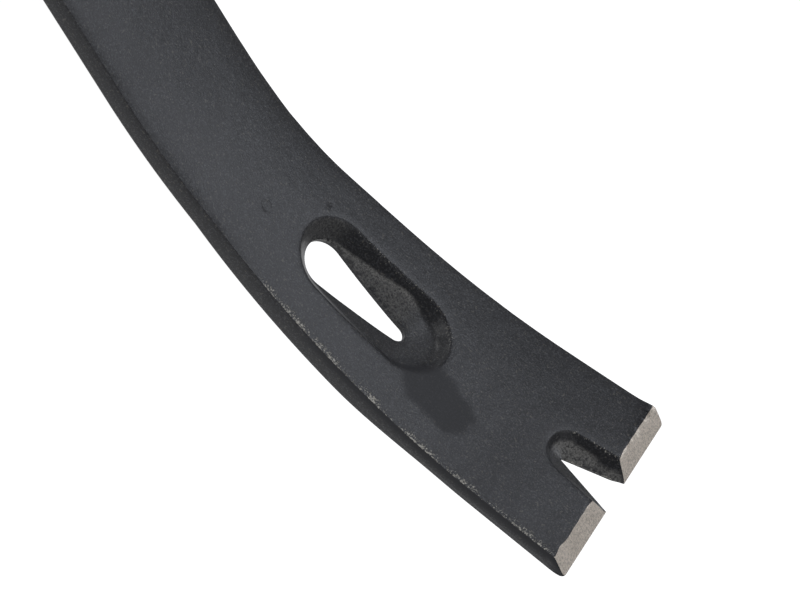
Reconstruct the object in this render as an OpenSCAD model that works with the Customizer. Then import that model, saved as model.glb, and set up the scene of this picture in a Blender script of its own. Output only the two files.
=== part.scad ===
// Halligan bar: a forged claw and a forged head, each pinned on one end of a round steel shaft
// that carries two rubber grips. X runs along the shaft towards the claw, Y runs across the claw,
// and Z points to the side that the claw and the adze curve to. The origin is on the shaft's axis,
// in the middle of the bare length that a storage bracket holds. A station s on the claw is the
// distance back from its cutting edge, measured along the upper, concave face.

/* [Overall] */
// Length from the striking face to the claw's cutting edge
overall_len = 762; // [740:2:920]
// Outside diameter of the shaft
shaft_d = 25.4; // [24.4:0.2:26]
// Bare length of shaft between the grips, for a storage bracket
bracket_len = 64; // [50:2:80]

/* [Claw blade] */
// Width across the cutting edge
tip_w = 52.6; // [48:0.2:56]
// Width of the flat shank behind the claw
shank_w = 38; // [34:0.2:40]
// Distance from the cutting edge over which the claw narrows to the shank
flare_len = 108.5; // [90:0.5:130]
// Thickness behind the ground bevel
tip_t = 4.7; // [4.2:0.1:5.5]
// Depth of the cutting edge below the upper face
edge_t = 3.3; // [2.8:0.1:4]
// Thickness of the flat shank
shank_t = 6.3; // [6:0.1:9]
// Distance from the cutting edge to where the blade starts to thicken
taper_start = 37.5; // [30:0.5:42]
// Distance from the cutting edge to where the blade has its full thickness
taper_end = 60.5; // [52:0.5:70]
// Straight length at the tip, before the bend
tip_straight = 25.5; // [20:0.5:35]
// Radius of the bend, at the upper face
bend_r = 208; // [190:1:230]
// Angle of the bend
bend_deg = 32; // [25:1:38]
// Length of the ground bevel at the cutting edge
bevel_len = 4.3; // [3:0.1:6]
// Flat, straight shank between the bend and the neck
shank_flat = 42; // [30:1:60]

/* [Nail slot] */
// Station of the recess's wide end
recess_back_s = 80; // [76:0.5:84]
// Radius of the recess's wide end, at the upper face
recess_back_r = 10.2; // [9:0.1:12]
// Station of the recess's narrow end
recess_front_s = 58.7; // [54:0.1:62]
// Radius of the recess's narrow end, at the upper face
recess_front_r = 10.7; // [9:0.1:12]
// Radius of the slot's round end, for the nail head
slot_back_r = 5.8; // [5:0.1:6.5]
// Radius of the slot's narrow end, for the nail shank
slot_front_r = 2.2; // [2.1:0.1:3]
// Thickness of the lip round the slot
slot_lip_t = 2.2; // [1.8:0.1:3]

/* [V notch] */
// Width of the notch at the cutting edge
notch_w = 8.8; // [8:0.1:10]
// Station of the notch's inner end
notch_s = 14.6; // [13.5:0.1:16]
// Width of the recess round the notch, at the bevel
notch_recess_w = 14.4; // [13.5:0.1:16]
// Radius of the recess's inner end
notch_recess_r = 6; // [5:0.1:7]
// Thickness of the gripping lip round the notch
notch_lip_t = 1.4; // [1:0.1:2]

/* [Sockets] */
// Length of the neck between the flat shank and the claw's socket
neck_len = 50; // [40:1:60]
// Length of each socket
socket_len = 56; // [54:1:64]
// Outside diameter of each socket
socket_d = 36; // [35:0.5:37]
// Outside diameter of the rim at each socket's mouth
rim_d = 38; // [38:0.5:38]
// Diameter of the roll pins
pin_d = 8; // [6:0.5:9]

/* [Head] */
// Length of the head's block along the shaft
block_len = 46; // [42:1:50]
// Height and width of the head's block
block_w = 38; // [38:0.5:38]
// Reach of the adze from the shaft's axis
adze_reach = 150; // [130:1:160]
// Width of the adze at its edge
adze_tip_w = 50; // [45:1:60]
// Reach of the pike from the shaft's axis
pike_reach = 150; // [130:1:160]

/* [Grips] */
// Length of each rubber grip
grip_len = 120; // [100:1:122]
// Outside diameter of each rubber grip
grip_d = 34; // [32:0.5:36]
// Width of each retaining ring
ring_w = 6; // [4:1:8]

/* [Hidden] */

$fn = 64;
eps = 0.01;
steel = [0.13, 0.14, 0.15];
bright = [0.62, 0.61, 0.58];
rubber = [0.05, 0.05, 0.05];

// Claw: lengths along X
bend_len = bend_r * bend_deg * PI / 180;
tip_run = bend_r * sin(bend_deg) + tip_straight * cos(bend_deg) + edge_t * sin(bend_deg);
head_len = block_len + socket_len;
shaft_bare = overall_len - tip_run - shank_flat - neck_len - socket_len - head_len;
claw_mouth_x = shaft_bare / 2;
head_mouth_x = -shaft_bare / 2;
neck_x = claw_mouth_x + socket_len;
bend_x = neck_x + neck_len + shank_flat;
strike_x = head_mouth_x - head_len;
blade_len = tip_straight + bend_len + shank_flat;
blade_steps = 48;
arc_steps = 24;
relief_len = 4.6;
slot_relief = 1;
over = 2;

// Sockets
bore_depth = 50;
shaft_gap = 1;
mouth_chamfer = 1.2;
rim_len = 8;
pin_wall = 1.6;
pin_slot = 1.4;
pin_sink = 1;
pin_pitch = 22;
pin_first = 15;

// Head
block_chamfer = 4;
adze_root_t = 15;
adze_tip_t = 3.2;
adze_root_w = 36;
adze_r = 300;
adze_bevel = 12;
adze_steps = 24;
pike_root_r = 12;
pike_tip_r = 2;
pike_hook = 12;
pike_steps = 6;

// Grips
ring_d = 31;
ring_chamfer = 1;
rib_pitch = 8;
rib_gap = 3;
rib_depth = 1.6;
grip_end = 8;

// Blade face at station s: slope, place and thickness
function run(s) = tip_straight + bend_len - s;
function slope(s) = max(0, min(bend_deg, run(s) / bend_r * 180 / PI));
function face_x(s) = bend_x
    + (run(s) < 0 ? run(s) : bend_r * sin(slope(s)) + max(0, run(s) - bend_len) * cos(bend_deg));
function face_z(s) = shank_t / 2
    + (run(s) < 0 ? 0 : bend_r * (1 - cos(slope(s))) + max(0, run(s) - bend_len) * sin(bend_deg));
function blade_t(s) = tip_t
    + (shank_t - tip_t) * min(1, max(0, s - taper_start) / (taper_end - taper_start));
function half_w(s) = tip_w / 2 - (tip_w - shank_w) / 2 * min(1, s / flare_len);
function below(s, depth) = [face_x(s) + depth * sin(slope(s)), face_z(s) - depth * cos(slope(s))];

module at_station(s) {
    translate([face_x(s), 0, face_z(s)]) rotate([0, -slope(s), 0]) children();
}

// Side view of the blade, drawn in X and Z
module blade_side() {
    rest = blade_len - relief_len;
    upper = [for (i = [0:blade_steps]) below(bevel_len + (blade_len - bevel_len) * i / blade_steps, 0)];
    lower = [for (i = [blade_steps:-1:0]) let (s = relief_len + rest * i / blade_steps) below(s, blade_t(s))];
    rotate([90, 0, 0]) linear_extrude(tip_w + over, center = true)
        polygon(concat(upper, lower, [below(0, edge_t)]));
}

// Outline of the blade seen from above
module blade_outline() {
    edge = [for (i = [0:blade_steps]) let (s = blade_len * i / blade_steps) [face_x(s), half_w(s)]];
    far = [for (i = [blade_steps:-1:0]) [edge[i][0], -edge[i][1]]];
    nose = [[edge[0][0] + 2 * over, -half_w(0)], [edge[0][0] + 2 * over, half_w(0)]];
    translate([0, 0, -shank_t])
        linear_extrude(3 * tip_w) polygon(concat(nose, edge, far));
}

// Countersunk recess at one station, down to a lip, with walls at 45 degrees
module recess_cone(s, r, lip_t) {
    depth = blade_t(s) - lip_t;
    at_station(s) translate([0, 0, -depth]) cylinder(h = depth + 1, r1 = r - depth, r2 = r + 1, $fn = 32);
}

module nail_recess() {
    hull() {
        recess_cone(recess_back_s, recess_back_r, slot_lip_t);
        recess_cone(recess_front_s, recess_front_r, slot_lip_t);
    }
}

// Keyhole for a nail: a round end and a narrow end, joined by their common tangents
module nail_slot() {
    pitch = recess_back_s - recess_front_s;
    lean = acos((slot_back_r - slot_front_r) / pitch);
    back = [for (i = [0:arc_steps]) let (a = lean + (360 - 2 * lean) * i / arc_steps)
        [slot_back_r * cos(a) - pitch / 2, slot_back_r * sin(a)]];
    front = [for (i = [0:arc_steps]) let (a = -lean + 2 * lean * i / arc_steps)
        [slot_front_r * cos(a) + pitch / 2, slot_front_r * sin(a)]];
    at_station((recess_back_s + recess_front_s) / 2)
        linear_extrude(4 * shank_t, center = true) polygon(concat(back, front));
}

// Relief under one end of the slot, at 45 degrees
module relief_cone(s, r) {
    at_station(s) translate([0, 0, -blade_t(s) - 1])
        cylinder(h = slot_relief + 1, r1 = r + slot_relief + 1, r2 = r, $fn = 32);
}

module slot_underside() {
    hull() {
        relief_cone(recess_back_s, slot_back_r);
        relief_cone(recess_front_s, slot_front_r);
    }
}

module notch_recess() {
    depth = blade_t(0) - notch_lip_t;
    centre_s = notch_s - 1.2;
    hull() {
        recess_cone(centre_s, notch_recess_r, notch_lip_t);
        at_station(0) rotate([90, 0, 90]) linear_extrude(over) polygon([
            [-notch_recess_w / 2 - 1, 1], [notch_recess_w / 2 + 1, 1],
            [notch_recess_w / 2 - depth, -depth], [-notch_recess_w / 2 + depth, -depth]]);
    }
}

module v_notch() {
    spread = notch_w / 2 * (notch_s + 2 * over) / notch_s;
    at_station(0) linear_extrude(4 * shank_t, center = true)
        polygon([[-notch_s, 0], [2 * over, spread], [2 * over, -spread]]);
}

module along_x(x) {
    translate([x, 0, 0]) rotate([0, 90, 0]) children();
}

// Socket drawn from its mouth towards +X: sleeve and rim
module socket_body() {
    cylinder(h = socket_len, d = socket_d);
    cylinder(h = rim_len, d = rim_d);
}

// Space that a socket leaves for the shaft
module socket_bore() {
    translate([0, 0, -eps]) cylinder(h = bore_depth + eps, d = shaft_d);
    translate([0, 0, -eps]) cylinder(h = mouth_chamfer + eps, d1 = shaft_d + 2 * mouth_chamfer, d2 = shaft_d);
}

// Cross hole or pin at x: the first of a pair runs along Y, the second along Z
module pin_along_y(x, d, length) {
    translate([x, 0, 0]) rotate([90, 0, 0]) cylinder(h = length, d = d, center = true);
}

module pin_along_z(x, d, length) {
    translate([x, 0, 0]) cylinder(h = length, d = d, center = true);
}

module claw_cross_holes() {
    pin_along_y(claw_mouth_x + pin_first, pin_d, 2 * rim_d);
    pin_along_z(claw_mouth_x + pin_first + pin_pitch, pin_d, 2 * rim_d);
}

module head_cross_holes() {
    pin_along_y(head_mouth_x - pin_first, pin_d, 2 * rim_d);
    pin_along_z(head_mouth_x - pin_first - pin_pitch, pin_d, 2 * block_w);
}

// Slotted spring pin, rolled from strip
module roll_pin() {
    length = socket_d - 2 * pin_sink;
    difference() {
        cylinder(h = length, d = pin_d, center = true);
        cylinder(h = length + over, d = pin_d - 2 * pin_wall, center = true);
        translate([pin_d / 2, 0, 0]) cube([pin_d, pin_slot, length + over], center = true);
    }
}

module claw_forging() {
    color(steel) difference() {
        union() {
            intersection() {
                blade_side();
                blade_outline();
            }
            hull() {
                along_x(neck_x - 1) cylinder(h = 1, d = socket_d - 2 * eps, $fn = 32);
                translate([neck_x + neck_len, 0, 0])
                    cube([1, shank_w - 2 * eps, shank_t - 2 * eps], center = true);
            }
            along_x(claw_mouth_x) socket_body();
        }
        along_x(claw_mouth_x) socket_bore();
        claw_cross_holes();
        nail_recess();
        nail_slot();
        slot_underside();
        notch_recess();
        v_notch();
    }
}

// Square bar with chamfered long edges, along Z
module chamfered_bar(length, a, b) {
    c = block_chamfer;
    linear_extrude(length, center = true) polygon([
        [-a / 2 + c, -b / 2], [a / 2 - c, -b / 2], [a / 2, -b / 2 + c], [a / 2, b / 2 - c],
        [a / 2 - c, b / 2], [-a / 2 + c, b / 2], [-a / 2, b / 2 - c], [-a / 2, -b / 2 + c]]);
}

// Block of the head, with its striking face at -X
module head_block() {
    intersection() {
        rotate([0, 90, 0]) chamfered_bar(block_len, block_w, block_w);
        rotate([90, 0, 0]) chamfered_bar(block_w, block_len, block_w);
        chamfered_bar(block_w, block_len, block_w);
    }
}

// Middle line of the adze at height z above the axis, and its thickness there
function adze_x(z) = adze_r - sqrt(pow(adze_r, 2) - pow(max(0, z - block_w / 2), 2));
function adze_t(z) = adze_root_t + (adze_tip_t - adze_root_t) * max(0, z) / adze_reach;

module adze() {
    edge_z = adze_reach - adze_bevel;
    heights = [for (i = [0:adze_steps]) edge_z * i / adze_steps];
    back = [for (z = heights) [adze_x(z) - adze_t(z) / 2, z]];
    front = [for (i = [adze_steps:-1:0]) let (z = heights[i]) [adze_x(z) + adze_t(z) / 2, z]];
    edge = [[adze_x(adze_reach) + adze_tip_t / 2, adze_reach]];
    intersection() {
        rotate([90, 0, 0]) linear_extrude(adze_tip_w + over, center = true)
            polygon(concat(back, edge, front));
        translate([-block_len, 0, 0]) rotate([90, 0, 90]) linear_extrude(3 * block_len) polygon([
            [-adze_root_w / 2, 0], [adze_root_w / 2, 0],
            [adze_tip_w / 2, adze_reach], [-adze_tip_w / 2, adze_reach]]);
    }
}

// Pike along Y: round sections that shrink and lean towards the claw
module pike_section(i) {
    f = i / pike_steps;
    translate([pike_hook * pow(f, 2), pike_reach * f, 0]) rotate([-90, 0, 0])
        cylinder(h = eps, r = pike_root_r + (pike_tip_r - pike_root_r) * f, $fn = 32);
}

module pike() {
    for (i = [0:pike_steps - 1])
        hull() {
            pike_section(i);
            pike_section(i + 1);
        }
}

module head_forging() {
    color(steel) difference() {
        union() {
            translate([strike_x + block_len / 2, 0, 0]) {
                head_block();
                adze();
                pike();
            }
            mirror([1, 0, 0]) along_x(-head_mouth_x) socket_body();
        }
        mirror([1, 0, 0]) along_x(-head_mouth_x) socket_bore();
        head_cross_holes();
    }
}

module shaft() {
    reach = bore_depth - shaft_gap;
    chamfer = 1.5;
    color(steel) difference() {
        along_x(head_mouth_x - reach) {
            translate([0, 0, chamfer]) cylinder(h = shaft_bare + 2 * (reach - chamfer), d = shaft_d);
            cylinder(h = chamfer + eps, d1 = shaft_d - 2 * chamfer, d2 = shaft_d);
            translate([0, 0, shaft_bare + 2 * reach - chamfer - eps])
                cylinder(h = chamfer + eps, d1 = shaft_d, d2 = shaft_d - 2 * chamfer);
        }
        claw_cross_holes();
        head_cross_holes();
    }
}

module pin_y(x) {
    color(bright) translate([x, 0, 0]) rotate([90, 90, 0]) roll_pin();
}

module pin_z(x) {
    color(bright) translate([x, 0, 0]) roll_pin();
}

module claw_pin_front() {
    pin_z(claw_mouth_x + pin_first + pin_pitch);
}

module claw_pin_rear() {
    pin_y(claw_mouth_x + pin_first);
}

module head_pin_front() {
    pin_y(head_mouth_x - pin_first);
}

module head_pin_rear() {
    pin_z(head_mouth_x - pin_first - pin_pitch);
}

// Rubber sleeve with raised ribs, from z = 0 to its length
module grip() {
    ribs = floor((grip_len - 2 * grip_end + rib_gap) / rib_pitch);
    start = (grip_len - ribs * rib_pitch + rib_gap) / 2;
    grooves = [for (i = [0:ribs], k = [0:3])
        [grip_d / 2 - (k == 1 || k == 2 ? rib_depth : 0),
            start - rib_gap + i * rib_pitch + rib_gap * [0, 0.25, 0.75, 1][k]]];
    color(rubber) rotate_extrude() polygon(concat(
        [[shaft_d / 2, 0], [grip_d / 2 - 1, 0], [grip_d / 2, 1]],
        grooves,
        [[grip_d / 2, grip_len - 1], [grip_d / 2 - 1, grip_len], [shaft_d / 2, grip_len]]));
}

// Retaining ring that stops a grip from creeping, from z = 0 to its width
module ring() {
    c = ring_chamfer;
    color(steel) rotate_extrude() polygon([
        [shaft_d / 2, 0], [ring_d / 2 - c, 0], [ring_d / 2, c],
        [ring_d / 2, ring_w - c], [ring_d / 2 - c, ring_w], [shaft_d / 2, ring_w]]);
}

module grip_front() {
    along_x(bracket_len / 2 + ring_w) grip();
}

module grip_rear() {
    along_x(-bracket_len / 2 - ring_w - grip_len) grip();
}

module ring_front_inner() {
    along_x(bracket_len / 2) ring();
}

module ring_front_outer() {
    along_x(bracket_len / 2 + ring_w + grip_len) ring();
}

module ring_rear_inner() {
    along_x(-bracket_len / 2 - ring_w) ring();
}

module ring_rear_outer() {
    along_x(-bracket_len / 2 - 2 * ring_w - grip_len) ring();
}

claw_forging();
head_forging();
shaft();
claw_pin_front();
claw_pin_rear();
head_pin_front();
head_pin_rear();
grip_front();
grip_rear();
ring_front_outer();
ring_front_inner();
ring_rear_inner();
ring_rear_outer();
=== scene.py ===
"""Halligan bar: the looks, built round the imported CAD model. Lengths are in millimetres until a
mesh is made, and in metres after that. A station s on the claw is the distance back from its
cutting edge along the concave face, and w is the distance across it."""
import math

import bmesh
import bpy
import numpy as np
from mathutils import Matrix, Vector, noise
from mathutils.geometry import delaunay_2d_cdt


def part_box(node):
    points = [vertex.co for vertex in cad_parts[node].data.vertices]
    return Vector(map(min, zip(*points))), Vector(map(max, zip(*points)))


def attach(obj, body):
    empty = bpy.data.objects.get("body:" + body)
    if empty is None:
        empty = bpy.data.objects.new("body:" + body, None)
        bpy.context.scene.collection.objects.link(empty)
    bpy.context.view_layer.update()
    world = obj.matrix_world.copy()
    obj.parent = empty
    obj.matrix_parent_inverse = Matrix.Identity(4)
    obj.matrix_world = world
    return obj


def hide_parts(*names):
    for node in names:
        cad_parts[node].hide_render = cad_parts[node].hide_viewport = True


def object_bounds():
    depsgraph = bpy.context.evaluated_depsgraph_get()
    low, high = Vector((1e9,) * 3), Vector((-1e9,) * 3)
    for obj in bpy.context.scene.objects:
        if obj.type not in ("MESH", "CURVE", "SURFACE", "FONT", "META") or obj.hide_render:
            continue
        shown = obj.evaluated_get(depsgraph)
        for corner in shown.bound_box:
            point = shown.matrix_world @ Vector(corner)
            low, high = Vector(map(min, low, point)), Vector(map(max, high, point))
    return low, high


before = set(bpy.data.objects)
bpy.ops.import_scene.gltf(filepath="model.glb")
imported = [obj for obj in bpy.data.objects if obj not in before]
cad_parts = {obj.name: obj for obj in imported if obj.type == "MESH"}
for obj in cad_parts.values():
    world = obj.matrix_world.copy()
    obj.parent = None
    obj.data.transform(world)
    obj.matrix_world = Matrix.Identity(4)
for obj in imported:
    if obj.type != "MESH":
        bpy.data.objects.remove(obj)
cad_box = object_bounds()

MM = 0.001
BODY = "root"


def box_mm(node):
    """A CAD node's lowest and highest corners, in millimetres."""
    low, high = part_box(node)
    return np.array(low) / MM, np.array(high) / MM


# ---------------- the claw's driving dimensions
TIP_HALF = 26.3
SHANK_HALF = 19.0
FLARE_LEN = 108.5
TIP_T = 4.7
EDGE_T = 3.3
SHANK_T = 6.3
TAPER = (37.5, 60.5)
TIP_STRAIGHT = 25.5
BEND_R = 208.0
BEND = math.radians(32.0)
BEVEL_LEN = 4.3
SHANK_FLAT = 42.0
NECK_LEN = 50.0
SOCKET_R = 18.0
RIM_R = 19.0
RIM_LEN = 8.0
SHAFT_R = 12.7
BORE_DEPTH = 50.0
PIN_R = 4.0
PIN_FIRST = 15.0
PIN_PITCH = 22.0
PIN_SEAM = 0.7
SLOT_LIP_T = 2.2
NOTCH_LIP_T = 1.4
CROWN = 0.85
NOTCH_SHIFT = 0.4
DENT = (100.3, -4.6)
NICK = (89.0, 9.5)

BEND_LEN = BEND_R * BEND
BLADE_LEN = TIP_STRAIGHT + BEND_LEN + SHANK_FLAT
TIP_RUN = BEND_R * math.sin(BEND) + TIP_STRAIGHT * math.cos(BEND) + EDGE_T * math.sin(BEND)
CLAW_LOW, CLAW_HIGH = box_mm("claw_forging")
BEND_X = CLAW_HIGH[0] - TIP_RUN
BLADE_END_X = BEND_X - SHANK_FLAT
NECK_X = BLADE_END_X - NECK_LEN
CLAW_MOUTH_X = CLAW_LOW[0]


def smooth(t):
    t = np.clip(t, 0.0, 1.0)
    return t * t * (3 - 2 * t)


def ramp(a, b, x):
    return smooth((np.asarray(x, float) - a) / (b - a))


def bell(x, width):
    return np.exp(-((x / width) ** 2))


def bisect(holds, low, high):
    """The narrow span, from low to high, in which holds turns from true to false."""
    for _ in range(40):
        middle = (low + high) / 2
        low, high = (middle, high) if holds(middle) else (low, middle)
    return low, high


def soft_max(a, b, k):
    """The larger of a and b, with the corner between them rounded over about k."""
    return 0.5 * (a + b + np.sqrt((a - b) ** 2 + k * k))


def soft_min(a, b, k):
    return -soft_max(-a, -b, k)


def blade_half(s):
    return TIP_HALF - (TIP_HALF - SHANK_HALF) * np.clip(s / FLARE_LEN, 0, 1)


def far_extra(s):
    """How far the +w edge, drawn down by hand, strays from the straight flare."""
    s = np.asarray(s, float)
    stray = 0.85 * ramp(108, 140, s) - 0.6 * bell(s - 94.5, 11) - 0.7 * np.clip(1 - s / 6, 0, 1) ** 2
    return (stray + 0.38 * ramp(105, 80, s)) * ramp(BLADE_LEN - 0.5, BLADE_LEN - 9, s)


def blade_t(s):
    return TIP_T + (SHANK_T - TIP_T) * ramp(TAPER[0] - 3, TAPER[1] + 3, s)


def under_depth(s):
    """Depth of the underside, which rounds up to the cutting edge over its last few millimetres."""
    return blade_t(s) - (TIP_T - EDGE_T - 0.12) * (1 - np.clip(np.asarray(s, float) / 3.4, 0, 1)) ** 2


def on_blade(s, w, depth):
    """The point at station s, w across, and depth below the concave face."""
    s, w, depth = np.broadcast_arrays(*(np.asarray(v, float) for v in (s, w, depth)))
    run = TIP_STRAIGHT + BEND_LEN - s
    slope = np.clip(run / BEND_R, 0, BEND)
    past = np.maximum(0, run - BEND_LEN)
    x = BEND_X + np.where(run < 0, run, BEND_R * np.sin(slope) + past * np.cos(BEND))
    z = SHANK_T / 2 + np.where(run < 0, 0, BEND_R * (1 - np.cos(slope)) + past * np.sin(BEND))
    return np.stack([x + depth * np.sin(slope), w, z - depth * np.cos(slope)], -1)


# ---------------- tapered slots in the blade
class Slot:
    """Two circles on one line along the blade, joined by their tangents. The line is shift off the middle."""

    def __init__(self, back_s, back_r, front_s, front_r, shift=0.0):
        self.back_s, self.back_r, self.front_s, self.front_r = back_s, back_r, front_s, front_r
        self.shift = shift
        self.pitch = back_s - front_s
        self.lean = (back_r - front_r) / self.pitch

    def distance(self, s, w):
        """Distance to the outline, negative inside."""
        u, v = self.back_s - np.asarray(s, float), np.abs(np.asarray(w, float) - self.shift)
        cos = math.sqrt(1 - self.lean ** 2)
        k = u * cos - v * self.lean
        back = np.hypot(u, v) - self.back_r
        front = np.hypot(u - self.pitch, v) - self.front_r
        side = v * cos + u * self.lean - self.back_r
        return np.where(k < 0, back, np.where(k > cos * self.pitch, front, side))

    def outline(self, grow=0.0, step=0.6):
        """Points round the outline, moved out by grow."""
        back_r, front_r = self.back_r + grow, max(self.front_r + grow, 0.05)
        lean = math.acos(np.clip((back_r - front_r) / self.pitch, -1, 1))
        points = []
        for s, r, a0, a1 in ((self.back_s, back_r, lean, 2 * math.pi - lean),
                             (self.front_s, front_r, 2 * math.pi - lean, 2 * math.pi + lean)):
            n = max(4, int((a1 - a0) * r / step))
            points += [(s - r * math.cos(a), self.shift + r * math.sin(a))
                       for a in np.linspace(a0, a1, n + 1)]
        return fill_gaps(points, step, closed=True)

    def moved_out(self, run, grow):
        """The points of run moved away from the outline, with s kept at or behind the cutting edge."""
        (s, w), h = np.array(run).T, 0.01
        slope = np.stack([self.distance(s + h, w) - self.distance(s - h, w),
                          self.distance(s, w + h) - self.distance(s, w - h)])
        slope /= np.linalg.norm(slope, axis=0) + 1e-9
        moved_s = np.where(s < 0.001, 0.0, np.maximum(s + slope[0] * grow, 0.0))
        return np.stack([moved_s, w + slope[1] * grow], -1)


def fill_gaps(points, step, closed=False):
    """The same outline with points at most step apart."""
    out = []
    for a, b in zip(points, points[1:] + points[:1] if closed else points[1:]):
        gap = math.dist(a, b)
        if gap >= 0.1:
            out += [tuple(p) for p in np.linspace(a, b, math.ceil(gap / step), endpoint=False)]
    return out if closed else out + [tuple(points[-1])]


RECESS = Slot(80.0, 10.2, 58.7, 10.7)
NAIL = Slot(80.7, 5.8, 59.7, 2.2)
NOTCH_RECESS = Slot(13.4, 6.0, -9.5, 8.9, NOTCH_SHIFT)
NOTCH = Slot(14.2, 0.4, -9.5, 7.35, NOTCH_SHIFT)
WALL_SLOPE = 1.05
NOTCH_WALL_SLOPE = 1.25
NOTCH_FLOOR_FALL = 0.42


def floor_fall(s):
    """Slope of the nail recess's floor towards the slot: steep along its sides, flat at its narrow end."""
    return 0.14 + 0.26 * ramp(55, 64, s) * (1 - 0.6 * ramp(80, 86, s))


def nail_recess(s, w):
    """Depths of the nail recess's wall and of its floor, which slopes up from the lip at the slot."""
    wall = WALL_SLOPE * soft_max(-RECESS.distance(s, w), 0, 0.38)
    return wall, blade_t(s) - SLOT_LIP_T - floor_fall(s) * np.maximum(0, NAIL.distance(s, w))


def notch_recess(s, w):
    wall = NOTCH_WALL_SLOPE * soft_max(-NOTCH_RECESS.distance(s, w), 0, 0.2)
    return wall, blade_t(s) - NOTCH_LIP_T - NOTCH_FLOOR_FALL * np.maximum(0, NOTCH.distance(s, w))


def recess_depth(s, w):
    """How far the two countersunk recesses go below the face: a steep wall, then a sloping floor."""
    nail, notch = soft_min(*nail_recess(s, w), 0.16), soft_min(*notch_recess(s, w), 0.15)
    return np.maximum(np.maximum(nail, notch), 0)


def bevel_len(w):
    """Length of the bevel, ground by eye: it wanders a little on each prong."""
    w = np.asarray(w, float)
    stray = 0.05 * np.sin(w / 2.3 + 1) + 0.04 * np.sin(w / 0.7) + 0.45 * bell(w + 22.8, 1.5)
    return BEVEL_LEN + stray * ramp(9.0, 12.0, np.abs(w))


def bevel_depth(s, w):
    return EDGE_T * (1 - np.asarray(s, float) / bevel_len(w))


def fbm(points, size, seed, octaves=3):
    """Smooth noise from -1 to 1 at points, with features about size across."""
    shift = Vector((17.3 * seed, -9.1 * seed, 4.7 * seed))
    return np.array([noise.fractal(Vector(p) / size + shift, 1.0, 2.0, octaves) for p in points])


def face_depth(s, w):
    """Depth of the finished concave face: crown, forging waves, recesses and the ground bevel."""
    s, w = np.asarray(s, float), np.asarray(w, float)
    flat = np.stack([s, w, 0 * s], -1).reshape(-1, 3)
    waves = 0.09 * fbm(flat, 15.0, 1).reshape(s.shape) * ramp(3, 12, s)
    waves = waves + 0.012 * fbm(flat, 3.5, 2).reshape(s.shape) * ramp(3, 9, s)
    half = blade_half(s) + np.where(w > 0, far_extra(s), 0.0)
    crown = CROWN * (np.abs(w) / half) ** 2.4 * (0.25 + 0.75 * ramp(60, 125, s)) * ramp(2, 12, s)
    crown = crown + 0.95 * (np.maximum(0, w) / TIP_HALF) ** 2 * ramp(125, 80, s) * ramp(1, 8, s)
    gap = half - np.abs(w)
    soft = np.where(w > 0, 0.34 * np.exp(-gap / 1.1), 0.10 * np.exp(-gap / 0.6))
    crown = crown + soft * (0.25 + 0.75 * ramp(85, 115, s)) * ramp(4, 10, s)
    ring = np.hypot(s - DENT[0], w - DENT[1])
    dimple = 0.11 * bell(ring - 1.35, 0.30) + 0.04 * bell(ring, 0.9)
    nick = 0.25 * bell(s - NICK[0], 0.35) * bell(w - NICK[1], 0.5)
    recess = recess_depth(s, w)
    painted = waves + crown + dimple + nick + recess
    return np.where(s < bevel_len(w), np.maximum(bevel_depth(s, w), recess), painted)


# ---------------- outline of the blade
CORNER_NEAR = 1.0
CORNER_FAR = 0.9
FACE_STEP = 1.1
EDGE_STEP = 0.7
END_NODES = 28


def blade_outline():
    """Side outline from the cutting edge's -w end, round the shank's end, to its +w end, as three runs."""
    def side(sign, corner):
        stations = np.array(list(np.arange(corner, BLADE_LEN, EDGE_STEP)) + [BLADE_LEN])
        half = blade_half(stations) + (far_extra(stations) if sign > 0 else 0.0)
        points = [(corner * (1 - math.cos(a)), sign * (half[0] - corner * (1 - math.sin(a))))
                  for a in np.linspace(0, math.pi / 2, 6)]
        return points + [(float(s), sign * float(h)) for s, h in zip(stations[1:], half[1:])]

    near, far = side(-1, CORNER_NEAR), side(1, CORNER_FAR)
    end = [(BLADE_LEN, -SHANK_HALF + 2 * SHANK_HALF * i / END_NODES) for i in range(1, END_NODES)]
    return near, end, far[::-1]


def notch_half(s):
    """Half width of the notch at station s."""
    return float(bisect(lambda w: NOTCH.distance(s, NOTCH_SHIFT + w) < 0, 0.0, 12.0)[1])


def notch_outline():
    """The notch from the cutting edge's +w side round its inner end to the -w side."""
    points = [p for p in NOTCH.outline(0, 0.5) if p[0] > 0.05]
    upper = sorted(p for p in points if p[1] >= NOTCH_SHIFT)
    lower = sorted((p for p in points if p[1] < NOTCH_SHIFT), reverse=True)
    mouth = notch_half(0.0)
    return [(0.0, NOTCH_SHIFT + mouth)] + upper + lower + [(0.0, NOTCH_SHIFT - mouth)]


def bevel_boundary(sign):
    """Where the ground bevel meets the notch's recess, from the face down to the notch."""
    points = []
    for s in np.linspace(BEVEL_LEN, 0.0, 20):
        inner = notch_half(s)
        if bevel_depth(s, inner) > recess_depth(s, NOTCH_SHIFT + inner):
            break
        w = bisect(lambda w: recess_depth(s, NOTCH_SHIFT + w) > bevel_depth(s, w), inner, 12.0)[1]
        points.append((float(s), NOTCH_SHIFT + sign * w))
    last_s, last_w = points[-1][0], abs(points[-1][1] - NOTCH_SHIFT)
    for w in np.linspace(last_w, notch_half(last_s), 4)[1:]:
        s = bisect(lambda s: bevel_depth(s, w) > recess_depth(s, NOTCH_SHIFT + w), 0.0, BEVEL_LEN)[1]
        if s < 0.03:
            break
        points.append((s, NOTCH_SHIFT + sign * float(w)))
    return points


def inside_polygon(points, polygon):
    """Even-odd test of each point against a closed polygon."""
    x, y = points.T[:, :, None]
    a = np.array(polygon)
    b = np.roll(a, -1, 0)
    spans = (a[:, 1] > y) != (b[:, 1] > y)
    rise = np.where(b[:, 1] == a[:, 1], 1e-12, b[:, 1] - a[:, 1])
    crossing = a[:, 0] + (y - a[:, 1]) * (b[:, 0] - a[:, 0]) / rise
    return (spans & (x < crossing)).sum(1) % 2 == 1


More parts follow.
